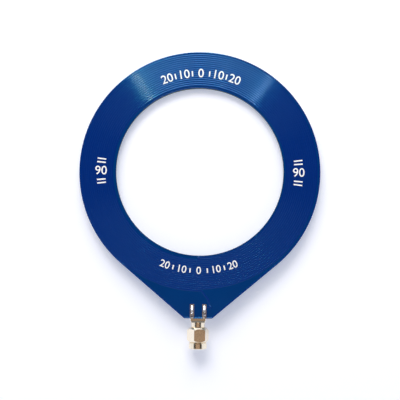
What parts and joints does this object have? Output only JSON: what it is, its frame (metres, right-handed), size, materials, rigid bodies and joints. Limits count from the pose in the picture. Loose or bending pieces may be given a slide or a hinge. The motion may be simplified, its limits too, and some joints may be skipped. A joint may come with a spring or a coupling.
{
  "type": "loop antenna",
  "caption": "Flat ring-shaped circuit board antenna with a spiral coil and a gold coaxial plug on the tip of its tail.",
  "frame": {"origin": "on the plug's axis at its reference plane, the front face of the outer shell", "axes": "+Y from the plug towards the loop, +Z out of the marked face of the board, +X to the right as that face is looked at with the plug at the bottom"},
  "size_m": [0.1, 0.1233, 0.0088],
  "materials": {
    "solder_mask": "glossy blue solder mask on glass-epoxy laminate",
    "masked_copper": "glossy blue solder mask over copper",
    "bare_copper": "plated copper",
    "tinned_copper": "bright tinned",
    "solder": "bright tin solder",
    "gold_plate": "gold-plated brass, turned",
    "gold_plate_nut": "gold-plated brass, turned",
    "ptfe": "white fluoropolymer",
    "spring_bronze": "spring bronze",
    "silicone": "red silicone"
  },
  "bodies": {
    "antenna": {"board": "solder_mask", "coil_front": "masked_copper", "return_track": "masked_copper", "vias": "bare_copper", "front_pads": "tinned_copper", "back_pads": "tinned_copper", "signal_pad": "tinned_copper", "front_solder": "solder", "back_solder": "solder", "pin_solder": "solder", "connector_body": "gold_plate", "insulator": "ptfe", "centre_pin": "gold_plate", "snap_ring": "spring_bronze", "gasket": "silicone"},
    "nut": {"coupling_nut": "gold_plate_nut"}
  },
  "joints": [
    {"name": "nut_spin", "type": "hinge", "parent": "antenna", "child": "nut", "pos_m": [0, 0, 0], "axis": [0, 1, 0], "continuous": true}
  ]
}
